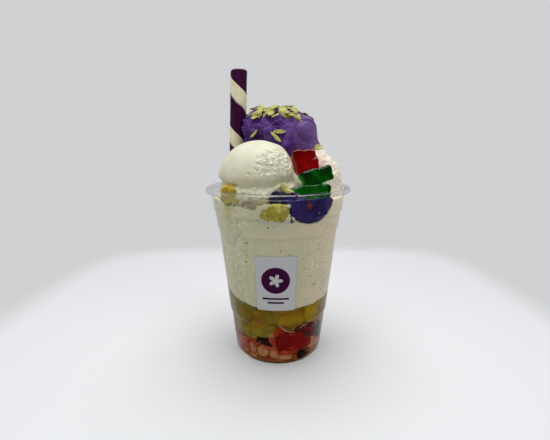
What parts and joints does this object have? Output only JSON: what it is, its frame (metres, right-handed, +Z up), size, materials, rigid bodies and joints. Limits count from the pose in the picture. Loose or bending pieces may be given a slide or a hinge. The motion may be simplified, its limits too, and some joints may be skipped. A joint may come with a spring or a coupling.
{
  "type": "halo halo dessert in a plastic cup",
  "caption": "Layered shaved-ice dessert in a clear cup: beans, jelly and fruit in syrup, milky ice, ice cream scoops, jelly blocks and a rolled wafer.",
  "frame": {"origin": "centre of the cup's flat foot", "axes": "+Z up out of the cup; -Y is the front, where the label is; +X is to the right of the front"},
  "size_m": [0.098, 0.098, 0.1953],
  "materials": {
    "clear_plastic": "clear, glossy",
    "label_paper": "smooth white label with a purple print",
    "bean_syrup": "wet beans and jelly in brown syrup",
    "fruit_syrup": "wet sweet fruit in amber syrup",
    "milk_ice": "milky shaved ice with dark specks",
    "ube_jam": "smooth, sticky",
    "yellow_fruit": "wet",
    "golden_fruit": "wet",
    "vanilla_ice_cream": "smooth to torn ice cream",
    "ube_ice_cream": "crumbly to smooth ice cream",
    "strawberry_ice_cream": "rough ice cream",
    "red_jelly": "clear red jelly",
    "green_jelly": "clear green jelly",
    "wafer": "baked wafer with cream and purple spiral stripes"
  },
  "bodies": {
    "root": {"cup": "clear_plastic", "label": "label_paper", "bean_jelly_layer": "bean_syrup", "fruit_layer": "fruit_syrup", "milk_ice": "milk_ice", "ube_jam": "ube_jam", "yellow_fruit": "yellow_fruit", "golden_fruit": "golden_fruit", "vanilla_scoop": "vanilla_ice_cream", "ube_scoop": "ube_ice_cream", "strawberry_scoop": "strawberry_ice_cream", "red_jelly": "red_jelly", "green_jelly_upper": "green_jelly", "green_jelly_lower": "green_jelly", "wafer_stick": "wafer"}
  },
  "joints": []
}
